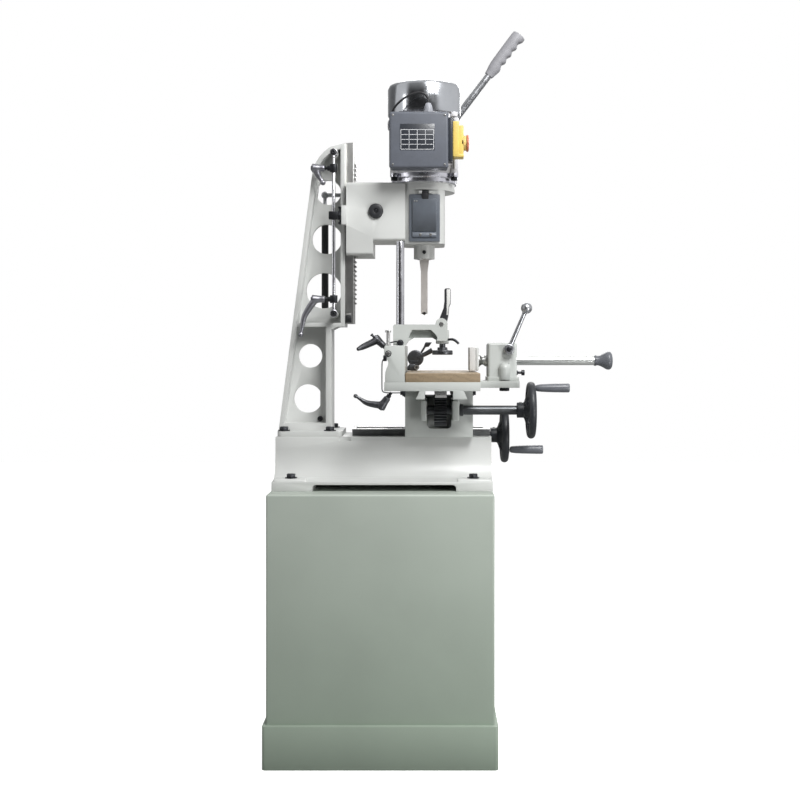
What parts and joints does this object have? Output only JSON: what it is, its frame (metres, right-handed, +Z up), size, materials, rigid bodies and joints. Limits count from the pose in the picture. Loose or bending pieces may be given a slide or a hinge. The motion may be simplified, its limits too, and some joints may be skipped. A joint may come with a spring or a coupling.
{
  "type": "hollow-chisel mortiser on cabinet stand",
  "caption": "Floor-standing hollow-chisel mortiser: cabinet stand, column with rack-fed motor head, cross-slide table with clamp and hold-down.",
  "frame": {"origin": "centre of the stand's anchor-hole pattern on the floor", "axes": "+Z up, +X from the column towards the handwheels, -Y towards the side with the switch box"},
  "size_m": [0.81, 0.456, 1.7266],
  "materials": {
    "stand_paint": "satin powder coat, green grey",
    "casting_paint": "semi-gloss paint, light warm grey",
    "black_steel": "blackened steel",
    "machined_steel": "machined",
    "zinc_lever": "tumbled die casting",
    "motor_silver": "light silver",
    "core_iron": "laminated core",
    "black_gloss": "glossy black",
    "slate_box": "slate grey, moulded",
    "switch_yellow": "yellow, moulded",
    "stop_red": "red, moulded",
    "black_plastic": "matte black",
    "lead_rubber": "smooth sheath",
    "grey_grip": "light grey, moulded",
    "bronze": "machined bronze",
    "dark_shaft": "oiled dark steel",
    "wood": "sanded board",
    "chrome": "polished",
    "jaw_pad": "smooth pad"
  },
  "bodies": {
    "stand_and_column": {"plinth": "stand_paint", "cabinet_shell": "stand_paint", "access_panel": "stand_paint", "frame_bolts": "black_steel", "base_casting": "casting_paint", "column_casting": "casting_paint", "column_rack": "machined_steel", "stop_rod": "machined_steel", "gas_spring_rod": "machined_steel"},
    "upper_stop": {"upper_stop_collar": "black_steel"},
    "upper_stop_lever": {"upper_collar_lever": "zinc_lever"},
    "lower_stop": {"lower_stop_collar": "black_steel"},
    "lower_stop_lever": {"lower_collar_lever": "zinc_lever"},
    "head": {"head_casting": "casting_paint", "stop_lug": "black_steel", "gas_spring_cylinder": "black_steel", "motor_body": "motor_silver", "motor_stator": "core_iron", "motor_end_bell": "black_gloss", "fan_cowl": "black_gloss", "motor_bolts": "machined_steel", "switch_box": "slate_box", "switch_housing": "switch_yellow", "lead_glands": "black_plastic", "motor_lead": "lead_rubber", "chisel_bush": "machined_steel", "hollow_chisel": "machined_steel"},
    "stop_button": {"stop_button": "stop_red"},
    "cover": {"spindle_cover": "black_plastic"},
    "spindle": {"motor_rotor": "core_iron", "cooling_fan": "black_plastic", "drill_chuck": "machined_steel", "auger_bit": "machined_steel"},
    "feed_drive": {"feed_pinion": "machined_steel", "pinion_shaft": "black_steel", "feed_lever": "machined_steel", "feed_grip": "grey_grip"},
    "saddle": {"saddle_casting": "casting_paint", "cross_nut": "bronze"},
    "cross_wheel": {"lead_screw": "machined_steel", "cross_handwheel": "black_gloss"},
    "cross_grip": {"cross_wheel_grip": "black_plastic"},
    "table_wheel": {"table_shaft": "dark_shaft", "table_handwheel": "black_gloss"},
    "table_grip": {"table_wheel_grip": "black_plastic"},
    "table": {"table_casting": "casting_paint", "table_rack": "dark_shaft", "wood_top": "wood", "fence_block": "casting_paint", "hold_down_post": "chrome", "clamp_block": "casting_paint"},
    "hold_down": {"hold_down_arm": "casting_paint"},
    "cam": {"cam_lever": "black_plastic"},
    "foot": {"foot_plunger": "black_steel"},
    "arm_lock": {"arm_clamp_lever": "zinc_lever"},
    "table_lock": {"table_lock_lever": "zinc_lever"},
    "work_stop": {"work_stop": "black_steel"},
    "clamp": {"clamp_shaft": "machined_steel", "clamp_jaw": "jaw_pad"},
    "clamp_lock": {"clamp_lever": "chrome"}
  },
  "joints": [
    {"name": "head_travel", "type": "slide", "parent": "stand_and_column", "child": "head", "axis": [0, 0, 1], "range_m": [-0.075, 0.03]},
    {"name": "feed_lever_turn", "type": "hinge", "parent": "head", "child": "feed_drive", "pos_m": [-0.0164, 0.12, 1.256], "axis": [0, 1, 0], "range_deg": [-33, 82]},
    {"name": "spindle_spin", "type": "hinge", "parent": "head", "child": "spindle", "pos_m": [0.097, 0, 1.4], "axis": [0, 0, 1], "continuous": true},
    {"name": "cover_swing", "type": "hinge", "parent": "head", "child": "cover", "pos_m": [0.097, -0.07, 1.3], "axis": [-1, 0, 0], "range_deg": [0, 92]},
    {"name": "stop_button_press", "type": "slide", "parent": "head", "child": "stop_button", "axis": [1, 0, 0], "range_m": [-0.004, 0], "stiffness_N_per_m": 400, "springref_m": 0.002},
    {"name": "upper_stop_slide", "type": "slide", "parent": "stand_and_column", "child": "upper_stop", "axis": [0, 0, 1], "range_m": [-0.045, 0.015]},
    {"name": "upper_stop_lever_turn", "type": "hinge", "parent": "upper_stop", "child": "upper_stop_lever", "pos_m": [-0.13, -0.07, 1.3557], "axis": [-1, 0, 0], "range_deg": [0, 90]},
    {"name": "lower_stop_slide", "type": "slide", "parent": "stand_and_column", "child": "lower_stop", "axis": [0, 0, 1], "range_m": [-0.014, 0.07]},
    {"name": "lower_stop_lever_turn", "type": "hinge", "parent": "lower_stop", "child": "lower_stop_lever", "pos_m": [-0.13, -0.07, 1.049], "axis": [-1, 0, 0], "range_deg": [0, 90]},
    {"name": "cross_wheel_turn", "type": "hinge", "parent": "stand_and_column", "child": "cross_wheel", "pos_m": [0.26, 0, 0.726], "axis": [1, 0, 0], "range_deg": [-1803, 1083]},
    {"name": "saddle_travel", "type": "slide", "parent": "stand_and_column", "child": "saddle", "axis": [1, 0, 0], "range_m": [-0.05, 0.03]},
    {"name": "cross_grip_spin", "type": "hinge", "parent": "cross_wheel", "child": "cross_grip", "pos_m": [0.33, -0.0402, 0.6946], "axis": [1, 0, 0], "continuous": true},
    {"name": "table_travel", "type": "slide", "parent": "saddle", "child": "table", "axis": [0, 1, 0], "range_m": [-0.15, 0.04]},
    {"name": "table_wheel_turn", "type": "hinge", "parent": "saddle", "child": "table_wheel", "pos_m": [0.3, -0.116, 0.7915], "axis": [1, 0, 0], "range_deg": [-70, 256]},
    {"name": "table_grip_spin", "type": "hinge", "parent": "table_wheel", "child": "table_grip", "pos_m": [0.38, -0.116, 0.8425], "axis": [1, 0, 0], "continuous": true},
    {"name": "hold_down_travel", "type": "slide", "parent": "table", "child": "hold_down", "axis": [0, 0, 1], "range_m": [0, 0.06]},
    {"name": "cam_turn", "type": "hinge", "parent": "hold_down", "child": "cam", "pos_m": [0.1367, -0.13, 0.989], "axis": [0, 1, 0], "range_deg": [0, 80.2]},
    {"name": "foot_press", "type": "slide", "parent": "hold_down", "child": "foot", "axis": [0, 0, 1], "range_m": [-0.006, 0]},
    {"name": "arm_lock_turn", "type": "hinge", "parent": "table", "child": "arm_lock", "pos_m": [0.0055, -0.13, 0.9386], "axis": [-0.7365, 0, 0.6765], "range_deg": [0, 60]},
    {"name": "table_lock_turn", "type": "hinge", "parent": "table", "child": "table_lock", "pos_m": [0.024, -0.196, 0.835], "axis": [-0.5822, 0, -0.8131], "range_deg": [0, 60]},
    {"name": "work_stop_slide", "type": "slide", "parent": "table", "child": "work_stop", "axis": [0, 1, 0], "range_m": [-0.02, 0.07]},
    {"name": "clamp_travel", "type": "slide", "parent": "table", "child": "clamp", "axis": [1, 0, 0], "range_m": [-0.14, 0]},
    {"name": "clamp_lever_turn", "type": "hinge", "parent": "table", "child": "clamp_lock", "pos_m": [0.2967, -0.05, 0.9317], "axis": [0, 1, 0], "range_deg": [-30, 60]}
  ],
  "couplings": [
    {"joint": "feed_lever_turn", "follows": "head_travel", "rad_per_m": -19.048},
    {"joint": "cross_wheel_turn", "follows": "saddle_travel", "rad_per_m": 628.32},
    {"joint": "table_wheel_turn", "follows": "table_travel", "rad_per_m": -29.63},
    {"joint": "cam_turn", "follows": "foot_press", "rad_per_m": -232.72}
  ]
}
